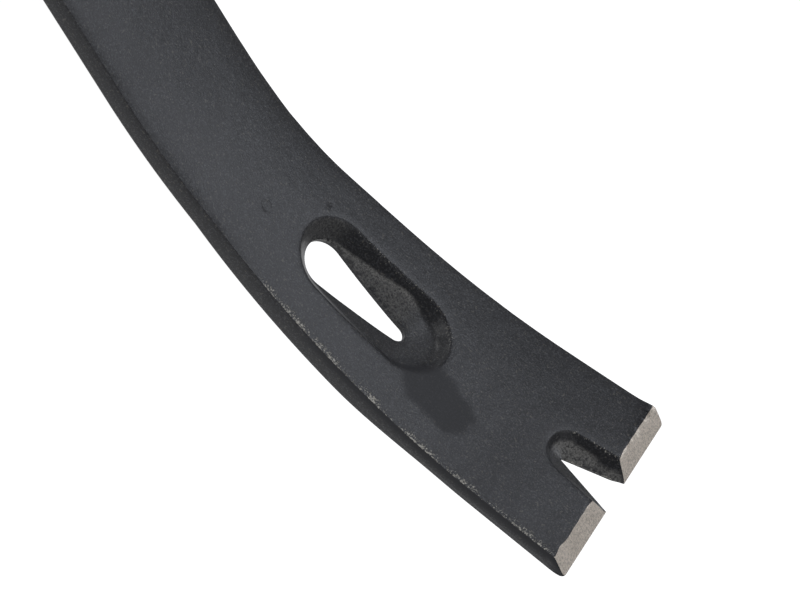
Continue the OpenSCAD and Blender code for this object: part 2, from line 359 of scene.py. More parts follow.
def triangulate(outer, holes, lines, step, clear):
    """Triangles of the area inside the outer loop and outside the holes, through every line. Extra
    points fill the area on a staggered grid. Returns points and triangles."""
    points, edges = [], []
    for run, closed in [(outer, True)] + [(h, True) for h in holes] + [(line, False) for line in lines]:
        first = len(points)
        points.extend(run)
        last = len(run) if closed else len(run) - 1
        edges.extend((first + i, first + (i + 1) % len(run)) for i in range(last))
    fixed = np.array(points)
    s_low, w_low = fixed.min(0)
    s_high, w_high = fixed.max(0)
    grid = np.array([(s, w) for j, w in enumerate(np.arange(w_low, w_high, step * 0.87))
                     for s in np.arange(s_low + (j % 2) * step / 2, s_high, step)])
    grid = grid[inside_polygon(grid, outer)]
    for p in fixed:
        grid = grid[np.hypot(*(grid - p).T) >= clear]
    points += [tuple(p) for p in grid]
    made = delaunay_2d_cdt([Vector(p) for p in points], edges, [], 0, 1e-5)
    out = np.array([tuple(p) for p in made[0]])
    triangles = np.array(made[2])
    middle = out[triangles].mean(1)
    p, q, r = (out[triangles[:, k]] for k in range(3))
    area = np.abs((q[:, 0] - p[:, 0]) * (r[:, 1] - p[:, 1]) - (q[:, 1] - p[:, 1]) * (r[:, 0] - p[:, 0]))
    kept = inside_polygon(middle, outer) & (area > 1e-6)
    for hole in holes:
        kept &= ~inside_polygon(middle, hole)
    return out, triangles[kept]


# ---------------- mesh helpers
WELD = 0.004


def add_object(name, data):
    made = bpy.data.objects.new(name, data)
    bpy.context.scene.collection.objects.link(made)
    return made


def shade(data, sharp):
    """Smooth shading, with edges above the sharp angle kept crisp."""
    data.shade_smooth()
    data.set_sharp_from_angle(angle=math.radians(sharp))


class Builder:
    """Collects faces from several runs of points, and welds the points that coincide."""

    def __init__(self):
        self.verts, self.faces, self.slots, self.marks = [], [], [], []

    def add(self, points, marks=None):
        first = len(self.verts)
        self.verts.extend(np.asarray(points, float))
        self.marks.extend([(0, 0, 0)] * len(points) if marks is None else marks)
        return list(range(first, first + len(points)))

    def face(self, *index, slot=0):
        self.faces.append(tuple(int(i) for i in index))
        self.slots.append(slot)

    def strips(self, rows, closed=False, looped=False, slot=0):
        """Quads between rows of the same length. Each row may be closed, and the last joined to the first."""
        for a, b in zip(rows, rows[1:] + rows[:1] if looped else rows[1:]):
            for i in range(len(a) if closed else len(a) - 1):
                j = (i + 1) % len(a)
                self.face(a[i], a[j], b[j], b[i], slot=slot)

    def fan(self, ring, centre):
        """Triangles from a ring to a new point at its centre."""
        middle = self.add([centre])[0]
        for i, v in enumerate(ring):
            self.face(v, ring[(i + 1) % len(ring)], middle)

    def mesh(self, name, materials, sharp=35.0):
        data = bpy.data.meshes.new(name)
        data.from_pydata([tuple(v * MM for v in p) for p in self.verts], [], self.faces)
        data.polygons.foreach_set("material_index", self.slots)
        layer = data.attributes.new("marks", "FLOAT_VECTOR", "POINT")
        layer.data.foreach_set("vector", np.array(self.marks, np.float32).ravel())
        bm = bmesh.new()
        bm.from_mesh(data)
        bmesh.ops.remove_doubles(bm, verts=bm.verts, dist=WELD * MM)
        bmesh.ops.dissolve_degenerate(bm, dist=WELD * MM, edges=bm.edges)
        bmesh.ops.recalc_face_normals(bm, faces=bm.faces)
        bm.to_mesh(data)
        bm.free()
        for material in materials:
            data.materials.append(material)
        shade(data, sharp)
        return add_object(name, data)


def place(piece, slot, node):
    """Moves any vertex outside the CAD node's box back onto it, and puts the piece in that node's place."""
    low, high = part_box(node)
    data = piece.data
    places = np.empty(len(data.vertices) * 3, np.float32)
    data.vertices.foreach_get("co", places)
    places = np.clip(places.reshape(-1, 3), np.array(low), np.array(high))
    data.vertices.foreach_set("co", places.astype(np.float32).ravel())
    data.update()
    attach(piece, BODY)
    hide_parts(node)


def boolean(piece, operation, *tools):
    """Cuts the tools from the piece, or makes them one solid with it, and deletes them."""
    for tool in tools:
        modifier = piece.modifiers.new("boolean", "BOOLEAN")
        modifier.operation = operation
        modifier.solver = "EXACT"
        modifier.material_mode = "TRANSFER" if operation == "UNION" else "INDEX"
        modifier.object = tool
    graph = bpy.context.evaluated_depsgraph_get()
    data = bpy.data.meshes.new_from_object(piece.evaluated_get(graph))
    piece.modifiers.clear()
    piece.data = data
    for tool in tools:
        bpy.data.objects.remove(tool)


def revolve(builder, profile, turns=96, axis="X", at=(0, 0, 0), capped=False, looped=False, ridge=0.0):
    """Turns (along, radius) points about an axis through at. The ends may be capped with fans, or joined
    where the profile is looped, and a fine ridge may run along each side."""
    rings = []
    for along, radius in profile:
        ring = []
        for k in range(turns):
            a = 2 * math.pi * k / turns
            r = radius + (ridge if k % (turns // 2) == 0 and radius > SHAFT_R + 1 else 0.0)
            c, s = r * math.cos(a), r * math.sin(a)
            p = {"X": (along, c, s), "Y": (c, along, s), "Z": (c, s, along)}[axis]
            ring.append(np.array(p) + at)
        rings.append(builder.add(ring))
    builder.strips(rings, closed=True, looped=looped)
    if capped:
        builder.fan(rings[0], (profile[0][0], 0, 0))
        builder.fan(rings[-1], (profile[-1][0], 0, 0))
    return rings


def rounded(points, radius, steps=4):
    """An open outline of (along, radius) points with its inner corners rounded."""
    out = [points[0]]
    corners = np.array(points, float)
    for a, b, c in zip(corners, corners[1:], corners[2:]):
        to_a, to_c = np.linalg.norm(a - b), np.linalg.norm(c - b)
        r = min(radius, to_a / 2.2, to_c / 2.2)
        p, q = b + (a - b) / to_a * r, b + (c - b) / to_c * r
        out += [tuple((1 - t) ** 2 * p + 2 * t * (1 - t) * b + t * t * q)
                for t in np.linspace(0, 1, steps + 1)]
    return out + [points[-1]]


# ---------------- materials
class Graph:
    """Short calls for the nodes that the materials and the world use."""

    def __init__(self, owner, coordinates="Object"):
        owner.use_nodes = True
        self.owner, self.tree = owner, owner.node_tree
        self.place = self.node("ShaderNodeTexCoord").outputs[coordinates]

    def fill(self, node, inputs):
        """Gives a node's inputs, by name or number, their values or links."""
        for key, value in inputs.items():
            if isinstance(value, bpy.types.NodeSocket):
                self.tree.links.new(value, node.inputs[key])
            else:
                node.inputs[key].default_value = value

    def node(self, kind, inputs=None, **settings):
        made = self.tree.nodes.new(kind)
        for key, value in settings.items():
            setattr(made, key, value)
        self.fill(made, inputs or {})
        return made

    def math(self, operation, a, b, clamp=False):
        return self.node("ShaderNodeMath", {0: a, 1: b}, operation=operation, use_clamp=clamp).outputs[0]

    def times(self, a, b):
        return self.math("MULTIPLY", a, b)

    def noise(self, size_mm, detail=2.0, roughness=0.5, stretch=(1, 1, 1)):
        """Noise with features about size_mm across, longer where stretch is above 1."""
        scale = [1 / (size_mm * MM * k) for k in stretch]
        place = self.node("ShaderNodeMapping", {"Vector": self.place, "Scale": scale}).outputs[0]
        inputs = {"Vector": place, "Scale": 1.0, "Detail": detail, "Roughness": roughness}
        return self.node("ShaderNodeTexNoise", inputs).outputs["Fac"]

    def step(self, value, low, high, out_low=0.0, out_high=1.0):
        inputs = {"Value": value, "From Min": low, "From Max": high, "To Min": out_low, "To Max": out_high}
        return self.node("ShaderNodeMapRange", inputs, interpolation_type="SMOOTHSTEP").outputs["Result"]

    def mix(self, amount, a, b):
        """Mix of two colours."""
        a, b = ((*c, 1.0) if isinstance(c, tuple) else c for c in (a, b))
        return self.node("ShaderNodeMix", {0: amount, 6: a, 7: b}, data_type="RGBA").outputs[2]

    def lerp(self, amount, a, b):
        """Mix of two numbers."""
        return self.node("ShaderNodeMix", {0: amount, 2: a, 3: b}, data_type="FLOAT").outputs[0]

    def parts(self, vector):
        """The three parts of a vector."""
        return self.node("ShaderNodeSeparateXYZ", {0: vector}).outputs[:3]

    def seen_or_lit(self, seen, lit):
        """One value where the camera looks straight at it, and another for the light it gives."""
        return self.lerp(self.node("ShaderNodeLightPath").outputs["Is Camera Ray"], lit, seen)

    def surface(self, colour, roughness, height, bump_mm, metallic=0.0, specular=0.5):
        """Sets up the material's shader, with height as its bump, and returns the material."""
        bump = self.node("ShaderNodeBump", {"Strength": 1.0, "Distance": bump_mm * MM, "Height": height})
        self.fill(self.tree.nodes["Principled BSDF"],
                  {"Base Color": colour, "Roughness": roughness, "Metallic": metallic,
                   "Specular IOR Level": specular, "Normal": bump.outputs[0]})
        return self.owner


def painted_steel(name, with_marks=False):
    """Satin near-black paint on a forging, with fine grain and pale specks. The claw's own has the marks
    that its mesh carries too: chips and painted highlight lines, the smooth patch, worn floors with a painted
    highlight along the nail recess's crease, and rough walls."""
    g = Graph(bpy.data.materials.new(name))
    grain = g.noise(0.42, 3.0, 0.75)
    cloud = g.noise(14.0, 3.0, 0.55)
    speck = g.math("MAXIMUM", g.step(g.noise(0.5, 1.0), 0.64, 0.74), g.step(g.noise(0.9, 1.0), 0.68, 0.76))
    base = g.mix(cloud, (0.0150, 0.0160, 0.0205), (0.0260, 0.0265, 0.0300))
    base = g.mix(g.step(grain, 0.48, 0.68), base, (0.088, 0.091, 0.102))
    base = g.mix(g.times(speck, 0.6), base, (0.16, 0.15, 0.135))
    rough = g.lerp(cloud, 0.27, 0.34)
    height = g.math("ADD", g.times(grain, 0.8), g.times(g.noise(1.6), 0.9))
    if with_marks:
        chips_and_highlights, patch, wall = g.parts(g.node("ShaderNodeAttribute", attribute_name="marks").outputs["Vector"])
        wear_and_highlight = g.math("MULTIPLY", patch, -1.0, clamp=True)
        patch = g.math("MAXIMUM", patch, 0.0)
        calm = g.math("SUBTRACT", 1.0, g.times(patch, 0.8))
        base = g.mix(g.times(patch, 0.9), base, (0.0380, 0.0390, 0.0450))
        # Worn recess floors turn pale in speckles: rubbed wear, with part of it a painted highlight along the
        # crease.
        rubbed_wear_and_highlight = g.times(wear_and_highlight, g.step(g.noise(0.45, 2.0, 0.7), 0.25, 0.68))
        base = g.mix(rubbed_wear_and_highlight, base, (0.27, 0.265, 0.255))
        rough = g.lerp(patch, rough, 0.60)
        flecks = g.times(g.noise(0.46, 2.0, 0.7), 1.6)
        # Chips, and the painted highlight lines that share their channel, turn pale.
        chip_and_highlight = g.step(g.math("ADD", chips_and_highlights, flecks), 1.47, 1.60)
        base = g.mix(chip_and_highlight, base, (0.55, 0.53, 0.48))
        rough = g.lerp(chip_and_highlight, rough, 0.33)
        coarse = g.times(g.times(g.noise(0.9, 3.0, 0.7), wall), 3.2)
        height = g.math("ADD", g.times(height, calm), coarse)
        height = g.math("SUBTRACT", height, g.times(chip_and_highlight, 0.8))
    return g.surface(base, rough, height, 0.055)


def ground_steel(name):
    """Bare steel off a belt: fine short scratches across the edge and faint heat tint."""
    g = Graph(bpy.data.materials.new(name))
    lines = g.noise(0.16, 3.0, 0.65, stretch=(4.0, 1.0, 2.5))
    mottled = g.step(g.noise(0.45, 3.0, 0.7), 0.35, 0.65)
    dark = g.step(g.noise(0.5, 1.0), 0.69, 0.78)
    base = g.mix(mottled, (0.46, 0.41, 0.35), (0.92, 0.83, 0.73))
    base = g.mix(g.step(lines, 0.3, 0.8), base, (0.94, 0.86, 0.77))
    base = g.mix(g.times(dark, 0.7), base, (0.10, 0.095, 0.09))
    return g.surface(base, g.lerp(lines, 0.44, 0.60), lines, 0.04, metallic=1.0)


def spring_steel(name):
    g = Graph(bpy.data.materials.new(name))
    cloud = g.noise(1.5, 3.0, 0.6)
    base = g.mix(cloud, (0.23, 0.225, 0.22), (0.42, 0.415, 0.41))
    return g.surface(base, g.lerp(cloud, 0.30, 0.45), g.noise(0.3), 0.01, metallic=1.0)


def grip_rubber(name):
    g = Graph(bpy.data.materials.new(name))
    dust = g.noise(9.0, 3.0, 0.6)
    base = g.mix(dust, (0.012, 0.012, 0.0125), (0.024, 0.024, 0.0235))
    return g.surface(base, g.lerp(dust, 0.62, 0.78), g.noise(0.7), 0.06, specular=0.35)


def black_oxide(name):
    g = Graph(bpy.data.materials.new(name))
    turned = g.noise(0.25, stretch=(1, 30, 30))
    base = g.mix(g.noise(5.0), (0.020, 0.020, 0.022), (0.040, 0.040, 0.041))
    return g.surface(base, g.lerp(turned, 0.32, 0.46), turned, 0.02, metallic=0.55)


CLAW_PAINT = painted_steel("claw_paint", with_marks=True)
PAINT = painted_steel("forging_paint")
GROUND = ground_steel("ground_steel")
PIN_STEEL = spring_steel("pin_steel")
RUBBER = grip_rubber("grip_rubber")
OXIDE = black_oxide("black_oxide")


# ---------------- claw
WALL_TOP = [(0.0, 0.0, 0.0), (0.0, 0.12, -0.05), (0.0, 0.5, -0.16), (0.0, 1.0, -0.28), (0.12, 1.2, -0.36),
            (0.3, 1.1, -0.38), (0.45, 0.7, -0.34), (0.62, 0.1, -0.28)]
WALL_ROUND = 0.95
BULGE = 0.24
INWARD_TO = (90.0, 0.0)


def wall_rows(height):
    """Depth below the arris and inset of each row down a side wall, for an array of wall heights.
    The wall leans out as it goes down, and then rounds under."""
    share = np.clip(height / 3.4, 0, 1)
    r = WALL_ROUND * share
    rows = [(height * a + np.minimum(b, 0.3 * height), inset * share) for a, b, inset in WALL_TOP]
    rows += [(height - r + r * math.sin(t), share * ((WALL_ROUND + BULGE) * (1 - math.cos(t)) - BULGE))
             for t in np.radians([0, 22, 44, 66, 90])]
    return rows


def inward(points):
    """Unit normals of an open run of (s, w) points, on the side of the blade's middle."""
    p = np.array(points)
    d = np.gradient(p, axis=0)
    n = np.stack([d[:, 1], -d[:, 0]], -1)
    n /= np.linalg.norm(n, axis=1)[:, None] + 1e-12
    return n * np.sign(((INWARD_TO - p) * n).sum(1))[:, None]


def claw_marks(s, w):
    """Marks on the face: chips along the -w arris and the rims, and painted highlight lines on the nail
    recess's near rim at its back end and on the notch's +w lip; the smooth patch less the worn floors of the
    recesses, which carry a painted highlight along the nail recess's crease, with the notch floor's
    lightening kept weak on its -w side as painted shade; and the rough walls."""
    s, w = np.asarray(s, float), np.asarray(w, float)
    recess, notch_in = RECESS.distance(s, w), -NOTCH_RECESS.distance(s, w)

    cluster = fbm(np.stack([s, 0 * s, 0 * s], -1).reshape(-1, 3), 6.5, 4, 2).reshape(s.shape)
    along = ramp(96, 88, s) * (0.92 + 0.08 * ramp(84, 70, s)) * (1 - 0.10 * ramp(50, 25, s))
    along = along * (0.70 + 0.30 * ramp(-0.4, 0.2, cluster))
    rim = np.abs(recess - 0.1)
    notch_rim = np.abs(notch_in + 0.2)
    chips_and_highlights = np.max([0.81 * along * bell(w + blade_half(s), 2.4),
                    0.50 * bell(rim, 1.5) * ramp(0, 6, w) * ramp(88, 80, s),
                    0.54 * bell(notch_rim, 1.2) * ramp(2, 5, w) * ramp(22, 16, s),
                    # Painted highlight: a thin pale line on the nail recess's near rim at its back end.
                    0.52 * bell(recess + 0.05, 0.22) * ramp(-1, -4, w) * ramp(72, 77, s),
                    # Painted highlight: a pale line along the notch's +w lip edge.
                    0.70 * ((NOTCH.distance(s, w) < 0.08) & (w > NOTCH_SHIFT) & (s > 0.8))], 0)

    u, v = (s - 45.3) / 9.6, (w + 9.5) / 6.8
    turn = np.arctan2(v, u)
    ragged = 1 + 0.13 * np.sin(2 * turn + 0.6) + 0.07 * np.sin(5 * turn) + 0.04 * np.sin(11 * turn)
    patch = 0.85 * ramp(1.14, 0.86, np.hypot(u, v) / ragged)
    wall, floor = nail_recess(s, w)
    # Worn nail recess floor: rubbed wear on the +w side, plus a painted highlight, the brighter band along
    # the crease where wall meets floor (the bell term).
    sloping = ramp(57, 62, s) * ramp(90, 84, s) * ramp(0.5, 2.5, w)
    nail = ramp(-0.1, 0.12, wall - floor) * (recess < 0)
    nail = nail * (0.10 + (0.50 + 0.60 * bell(wall - floor, 0.7)) * sloping)
    nail = nail + 0.45 * (recess < -0.2) * ramp(80, 86, s)
    wall, floor = notch_recess(s, w)
    # Worn notch recess floor, kept weak on the -w side as painted shade beside the notch edge.
    notch = ramp(-0.1, 0.12, wall - floor) * (notch_in > 0) * (0.25 + 0.75 * ramp(-1, 2, w))

    rough = np.maximum((recess < -0.2) * ramp(54, 62, s) * ramp(0.0, 3.0, w) * 0.5,
                       ramp(0.2, 0.8, notch_in) * ramp(3.2, 2.0, notch_in) * ramp(1.5, 4, w))
    return np.stack([chips_and_highlights, patch - np.maximum(nail, notch), rough], -1)


def wall_marks(s, depth, near):
    """Marks on a side wall: the -w wall has a smooth trimmed band under its arris near the tip."""
    band = ramp(80, 70, s) * ramp(1.9, 1.3, depth) * near
    chips_and_highlights = 0.5 * ramp(92, 80, s) * bell(depth, 0.3) * near
    return np.stack([chips_and_highlights, band, 0 * band], -1)


def collapse(b, rows, run):
    """Where a wall reaches the cutting edge, its rows come together so that it meets the edge's land."""
    for k in np.nonzero(run[:, 0] < 1e-6)[0]:
        for row in rows[1:-1]:
            b.verts[row[k]] = b.verts[rows[0][k]]


def crease(scale):
    """Where the nail recess's wall meets its floor, scaled about its middle, as runs clear of the slot."""
    runs, run = [], []
    centre = np.array([RECESS.back_s - 10.5, 0.0])
    for a in np.linspace(0, 2 * math.pi, 130):
        way = np.array([math.cos(a), math.sin(a)])

        def below_floor(reach):
            place = centre + way * reach
            return -WALL_SLOPE * RECESS.distance(*place) > nail_recess(*place)[1]

        point = centre + way * bisect(below_floor, 0.0, 40.0)[0] * scale
        if NAIL.distance(*point) > 0.3:
            run.append(tuple(point))
        elif run:
            runs.append(run)
            run = []
    return [r for r in runs + [run] if len(r) > 1]


def face_lines():
    """Runs of points for the face's triangles to follow, where its shape turns quickly."""
    lines = [RECESS.outline(g) + [RECESS.outline(g)[0]] for g in (0.5, 0.2, 0.0, -0.2, -0.5)]
    for scale in (0.96, 1.0, 1.04):
        lines += crease(scale)
    for (s, w), radii in ((DENT, (0.35, 0.75, 1.1, 1.4, 1.75, 2.2)), (NICK, (0.2, 0.5, 0.85))):
        lines += [[(s + r * math.cos(a), w + r * math.sin(a)) for a in np.linspace(0, 2 * math.pi, 21)]
                  for r in radii]
    for grow in (0.4, 0.15, -0.1, -0.4, -1.2, -1.8):
        ring = [p for p in NOTCH_RECESS.outline(grow, 0.5) if p[0] > BEVEL_LEN + 0.3]
        lines.append(sorted(ring, key=lambda p: math.atan2(p[1] - NOTCH_SHIFT, p[0] + 12.0)))
    for sign in (1, -1):
        border = bevel_boundary(sign)
        top = fill_gaps([(BEVEL_LEN, sign * (TIP_HALF - 0.6)), (BEVEL_LEN, border[0][1])], 0.45)
        lines += [[(float(bevel_len(w)), w) for _, w in top], border]
    return lines


def claw_face(b, loop, nail):
    """The concave face, painted, with its bevels in bare steel."""
    points, triangles = triangulate(loop, [nail], face_lines(), FACE_STEP, 0.5)
    s, w = points.T
    top = b.add(on_blade(s, w, face_depth(s, w)), claw_marks(s, w))
    s, w = points[triangles].mean(1).T
    ground = (s < bevel_len(w)) & (bevel_depth(s, w) > recess_depth(s, w) - 1e-3)
    for (i, j, k), is_ground in zip(triangles, ground):
        b.face(top[i], top[j], top[k], slot=int(is_ground))


def side_wall(b, run, near):
    """Side wall from the arris round to the underside. Returns its rows and its lower outline."""
    p, n = np.array(run), inward(run)
    arris = face_depth(*p.T)
    rows = []
    for down, inset in wall_rows(under_depth(p[:, 0]) - arris):
        q = p + n * inset[:, None]
        q[:, 0] = np.maximum(q[:, 0], 0)
        marks = wall_marks(p[:, 0], down, near) if rows else claw_marks(*p.T)
        rows.append(b.add(on_blade(*q.T, arris + down), marks))
    for i, v in zip(rows[-1], on_blade(*q.T, under_depth(q[:, 0]))):
        b.verts[i] = v
    collapse(b, rows, p)
    b.strips(rows)
    return rows, [tuple(v) for v in q]


def hole_wall(b, run, shape, relief):
    """Wall of the slot or the notch, whose lower edge is relieved. Returns its lower outline."""
    p, q = np.array(run), shape.moved_out(run, relief)
    upper, under = face_depth(*p.T), under_depth(p[:, 0])
    relief_at = np.maximum(under - relief, upper + 0.3 * (under - upper))
    # Painted highlight: a pale line along the middle of the notch's +w wall, carried in the chips channel.
    wear_and_highlight = np.outer((p[:, 1] > NOTCH_SHIFT) & (shape is NOTCH), (0.78, 0, 0))
    rows = [b.add(on_blade(*p.T, upper + (relief_at - upper) * f), wear_and_highlight * (f == 0.5)) for f in (0, 0.5, 1)]
    rows.append(b.add(on_blade(*q.T, under_depth(q[:, 0]))))
    collapse(b, rows, p)
    b.strips(rows, closed=shape is NAIL)
    return [tuple(v) for v in q]


def neck_and_socket(b, top, bottom, near_rows, far_rows):
    """The blade's end section, from its top and bottom runs and its walls' rows, grows into the socket."""
    ring = [on_blade(s, w, float(face_depth(s, w))) for s, w in top]
    ring += [b.verts[row[0]] for row in far_rows[1:]]
    ring += [on_blade(s, w, float(under_depth(s))) for s, w in bottom[::-1]]
    ring += [b.verts[row[-1]] for row in near_rows[:0:-1]]
    ring = np.array(ring)
    shoulder = math.radians(15)
    corners = (math.pi - shoulder, shoulder, -shoulder, shoulder - math.pi, -shoulder - math.pi)
    angles = [corners[0]]
    for a, c, n in zip(corners, corners[1:], (len(top), len(far_rows), len(bottom) + 2, len(far_rows))):
        angles += list(np.linspace(a, c, n)[1:])
    circle = np.array([(0.0, SOCKET_R * math.cos(a), SOCKET_R * math.sin(a)) for a in angles[:-1]])
    sections = []
    for t in np.linspace(0, 1, 25)[1:]:
        blend = float(smooth(t) * 0.65 + t * 0.35)
        sections.append(ring * (1 - blend) + circle * blend)
        sections[-1][:, 0] = BLADE_END_X + (NECK_X - BLADE_END_X) * t
    for along, radius in rounded(socket_profile(NECK_X, CLAW_MOUTH_X), 1.2)[1:]:
        sections.append(circle * (radius / SOCKET_R))
        sections[-1][:, 0] = along
    rings = [b.add(section) for section in [ring] + sections]
    b.strips(rings, closed=True)
    b.face(*rings[-1])


def claw():
    b = Builder()
    near, end, far = blade_outline()
    notch, nail = notch_outline(), NAIL.outline(0, 0.5)
    edge_far = fill_gaps([far[-1], notch[0]], EDGE_STEP)[1:-1]
    edge_near = fill_gaps([notch[-1], near[0]], EDGE_STEP)[1:-1]
    claw_face(b, near + end + far + edge_far + notch + edge_near, nail)
    near_rows, low_near = side_wall(b, near, 1.0)
    far_rows, low_far = side_wall(b, far, 0.0)
    low_nail = hole_wall(b, nail, NAIL, 1.0)
    low_notch = hole_wall(b, notch, NOTCH, 0.7)

    # Underside
    low_end = [(BLADE_LEN, low_near[-1][1] + (low_far[0][1] - low_near[-1][1]) * i / END_NODES)
               for i in range(1, END_NODES)]
    low_edge_far, low_edge_near = (
        [tuple(v) for v in np.linspace(a, c, len(edge) + 2)[1:-1]]
        for a, c, edge in ((low_far[-1], low_notch[0], edge_far), (low_notch[-1], low_near[0], edge_near)))
    low_loop = low_near + low_end + low_far + low_edge_far + low_notch + low_edge_near
    points, triangles = triangulate(low_loop, [low_nail], [], 1.8, 0.8)
    low = b.add(on_blade(*points.T, under_depth(points[:, 0])))
    for i, j, k in triangles:
        b.face(low[k], low[j], low[i])

    # The cutting edge's narrow land
    for upper, lower in ((far[-1:] + edge_far + notch[:1], low_far[-1:] + low_edge_far + low_notch[:1]),
                         (notch[-1:] + edge_near + near[:1], low_notch[-1:] + low_edge_near + low_near[:1])):
        upper, lower = np.array(upper).T, np.array(lower).T
        b.strips([b.add(on_blade(*upper, face_depth(*upper))),
                  b.add(on_blade(*lower, under_depth(lower[0])))], slot=1)

    neck_and_socket(b, near[-1:] + end + far[:1], low_end, near_rows, far_rows)
    piece = b.mesh("claw", [CLAW_PAINT, GROUND])
    boolean(piece, "DIFFERENCE", *pin_holes(CLAW_MOUTH_X, 1))
    place(piece, "satin_black_paint", "claw_forging")


def socket_profile(back_x, mouth_x):
    """Lathe profile of a socket: sleeve, rim, mouth and bore, from the outside of its closed end."""
    way = 1 if back_x > mouth_x else -1
    return [(back_x, SOCKET_R), (mouth_x + way * RIM_LEN, SOCKET_R), (mouth_x + way * RIM_LEN, RIM_R),
            (mouth_x, RIM_R), (mouth_x, SHAFT_R + 0.9), (mouth_x + way * 1.0, SHAFT_R),
            (mouth_x + way * BORE_DEPTH, SHAFT_R)]


def pin_holes(mouth_x, way):
    """Cutting tools for the two crossed pins of the socket whose mouth is at mouth_x."""
    tools = []
    x = mouth_x + way * PIN_FIRST
    for axis in "YZ":
        tool = Builder()
        rings = revolve(tool, [(-40, PIN_R), (40, PIN_R)], 48, axis, (x, 0, 0))
        tool.face(*rings[0][::-1])
        tool.face(*rings[1])
        tools.append(tool.mesh("hole", []))
        x += way * PIN_PITCH
    return tools


# ---------------- head
HEAD_LOW, HEAD_HIGH = box_mm("head_forging")
STRIKE_X = HEAD_LOW[0]
HEAD_MOUTH_X = HEAD_HIGH[0]
BLOCK_LEN = 46.0
BLOCK_HALF = 19.0
BLOCK_X = STRIKE_X + BLOCK_LEN / 2
BLOCK_END_X = STRIKE_X + BLOCK_LEN
REACH = 150.0
ADZE_ROOT_T = 15.0
ADZE_EDGE_T = 3.2
ADZE_ROOT_HALF = 18.0
ADZE_EDGE_HALF = 25.0
ADZE_BEND_R = 300.0
ADZE_BEVEL_Z = 138.0
PIKE_ROOT_R = 12.0
PIKE_TIP_R = 2.0
PIKE_LEAN = 12.0
PIKE_GROUND_Y = 141.0
PIKE_TIP_Y = 144.0


def loft(builder, sections):
    """Closed surface through rings of the same length, with a fan at each end."""
    rings = [builder.add(section) for section in sections]
    builder.strips(rings, closed=True)
    for k in (0, -1):
        builder.fan(rings[k], np.mean(sections[k], 0))


def rounded_box(half_a, half_b, radius, corner=6, along=8):
    """Ring of points round a rectangle with rounded corners, as (a, b) pairs."""
    radius = min(radius, half_a * 0.98, half_b * 0.98)
    arcs = []
    for quarter, (sa, sb) in enumerate(((1, 1), (-1, 1), (-1, -1), (1, -1))):
        turn = np.linspace(0, math.pi / 2, corner + 1) + quarter * math.pi / 2
        arcs.append(np.stack([sa * (half_a - radius) + radius * np.cos(turn),
                              sb * (half_b - radius) + radius * np.sin(turn)], -1))
    points = []
    for arc, after in zip(arcs, arcs[1:] + arcs[:1]):
        points += [*arc, *np.linspace(arc[-1], after[0], along + 1)[1:-1]]
    return np.array(points)


def forged(points, amount, size, seed):
    """The points with the slight waviness that forging leaves."""
    flow = np.stack([fbm(points, size, seed + k) for k in range(3)], -1)
    return points + flow * amount


def block_piece():
    """Block with rounded long edges and a chamfered striking face."""
    b = Builder()
    stations = [(0.0, 3.6), (0.25, 2.9), (0.9, 1.9), (2.2, 0.75), (3.6, 0.25), (5.5, 0.0)]
    stations = [(STRIKE_X + x, inset) for x, inset in stations]
    stations += [(x, 0.0) for x in np.linspace(STRIKE_X + 9, BLOCK_END_X - 7, 9)]
    stations += [(BLOCK_END_X - x, inset) for x, inset in
                 ((5.0, 0.1), (3.4, 0.5), (2.0, 1.3), (0.9, 2.5), (0.25, 3.9), (0.0, 5.4))]
    sections = []
    for x, inset in stations:
        ring = rounded_box(BLOCK_HALF - inset, BLOCK_HALF - inset, 5.2 - 0.3 * inset)
        section = np.column_stack([np.full(len(ring), x), ring])
        if 4 < x - STRIKE_X:
            section = forged(section, 0.10, 11.0, 3)
            section[:, 1:] = np.clip(section[:, 1:], -BLOCK_HALF, BLOCK_HALF)
        sections.append(section)
    loft(b, sections)
    return b.mesh("head_block", [PAINT])


def adze_line(z):
    """The adze's middle at height z: upright in the block, then bending away."""
    z = np.maximum(0, z - BLOCK_HALF)
    return float(BLOCK_X + ADZE_BEND_R - np.sqrt(ADZE_BEND_R ** 2 - z ** 2))


def adze_half_t(z):
    return (ADZE_ROOT_T + (ADZE_EDGE_T - ADZE_ROOT_T) * z / REACH) / 2


def adze_piece():
    """Adze: a curved, flaring blade, thinner towards its edge, ground on its outer side."""
    b = Builder()
    heights = list(np.linspace(4, 17, 5)) + list(np.linspace(19, 32, 12)) + list(np.linspace(35, 137.4, 40))
    heights += list(np.linspace(ADZE_BEVEL_Z, 149.2, 10)) + [149.75, REACH]
    sections = []
    for z in heights:
        fillet = float(np.clip((33 - z) / 14, 0, 1)) ** 2
        half_w = ADZE_ROOT_HALF + (ADZE_EDGE_HALF - ADZE_ROOT_HALF) * z / REACH + 0.7 * fillet
        front = adze_line(z) + adze_half_t(z) + 3.6 * fillet
        back = adze_line(z) - adze_half_t(z) - 3.6 * fillet
        if z > ADZE_BEVEL_Z:
            start = adze_line(ADZE_BEVEL_Z) - adze_half_t(ADZE_BEVEL_Z)
            edge = adze_line(REACH) + ADZE_EDGE_T / 2
            back = start + (edge - 0.35 - start) * (z - ADZE_BEVEL_Z) / (REACH - ADZE_BEVEL_Z)
            front = max(front, back + 0.3)
        corner = min(3.2, 0.85 * (front - back) / 2)
        half_w -= 1.6 * max(0.0, (z - 147.5) / 2.5) ** 2
        ring = rounded_box((front - back) / 2, half_w, corner, 5, 9)
        section = np.column_stack([ring[:, 0] + (front + back) / 2, ring[:, 1], np.full(len(ring), z)])
        sections.append(forged(section, 0.13, 16.0, 5) if z < 137 else section)
    loft(b, sections)
    for k, face in enumerate(b.faces):
        corners = np.array([b.verts[i] for i in face])
        x, _, z = corners.mean(0)
        b.slots[k] = int(corners[:, 2].min() > ADZE_BEVEL_Z - 0.1 and x < adze_line(z) + 0.2)
    return b.mesh("adze", [PAINT, GROUND])


